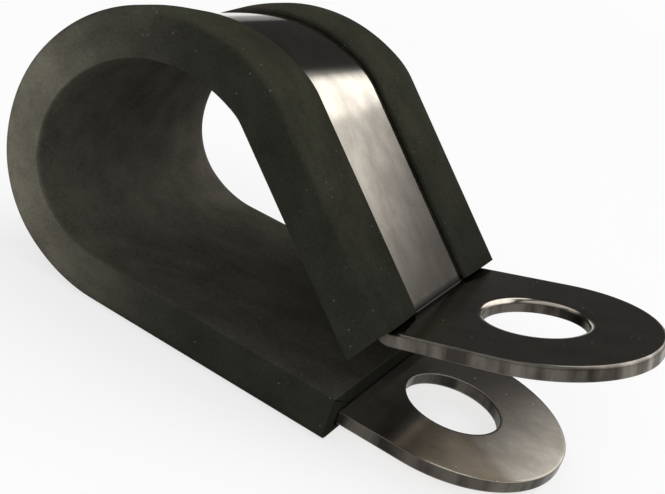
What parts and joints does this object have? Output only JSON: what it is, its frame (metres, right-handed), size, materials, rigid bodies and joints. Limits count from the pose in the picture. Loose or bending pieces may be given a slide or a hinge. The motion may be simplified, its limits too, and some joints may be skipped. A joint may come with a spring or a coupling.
{
  "type": "rubber-lined p clip",
  "caption": "Open P clip: a steel band folded into a loop with a round-ended, drilled ear at each end, wrapped in a black rubber channel that cushions the cable.",
  "frame": {"origin": "on the axis of the lower ear's bolt hole, at the ear's underside, the face that looks at the panel", "axes": "+Z along the lower bolt hole, up off the panel; +X from the cable loop towards the tip of the lower ear; +Y across the band, along the cable"},
  "size_m": [0.056, 0.024, 0.0263],
  "materials": {
    "plated_steel": "satin plated strip with a fine grain, sheared edges brighter",
    "black_rubber": "matte extruded rubber, black"
  },
  "bodies": {
    "root": {"steel_band": "plated_steel", "rubber_liner": "black_rubber"}
  },
  "joints": []
}
